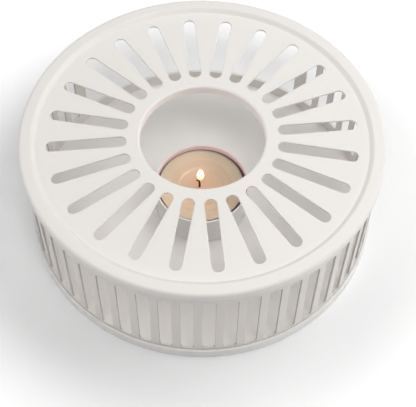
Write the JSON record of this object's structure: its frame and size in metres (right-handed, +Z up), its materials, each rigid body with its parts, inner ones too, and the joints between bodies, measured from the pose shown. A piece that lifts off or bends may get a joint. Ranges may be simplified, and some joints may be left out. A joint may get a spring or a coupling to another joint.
{
  "type": "teapot warmer",
  "caption": "Round white sheet-steel teapot warmer: a slotted lift-off cover, open in the middle of its lid and at the back, stands in a shallow tray over a tealight in a fixed cup.",
  "frame": {"origin": "middle of the flat underside of the base tray, on the table", "axes": "+Z up along the drum's axis, front towards -Y, the opening for the tealight at the back towards +Y, +X to the right seen from the front"},
  "size_m": [0.15, 0.15, 0.054],
  "materials": {
    "white_paint": "matt white powder coat on sheet steel",
    "foil": "bright drawn aluminium",
    "tin": "plain tinplate",
    "wax": "warm paraffin wax with a melted middle",
    "burnt_cotton": "braided cotton, charred at the tip"
  },
  "bodies": {
    "base": {"base_tray": "white_paint", "candle_cup": "white_paint"},
    "cover": {"lid": "white_paint", "wall_band": "white_paint"},
    "tealight": {"tealight_case": "foil", "wick_sustainer": "tin", "wax": "wax", "wick": "burnt_cotton"}
  },
  "joints": [
    {"name": "cover_lift", "type": "slide", "parent": "base", "child": "cover", "axis": [0, 0, 1], "range_m": [0, 0.06]},
    {"name": "tealight_lift", "type": "slide", "parent": "base", "child": "tealight", "axis": [0, 0, 1], "range_m": [0, 0.06]}
  ]
}
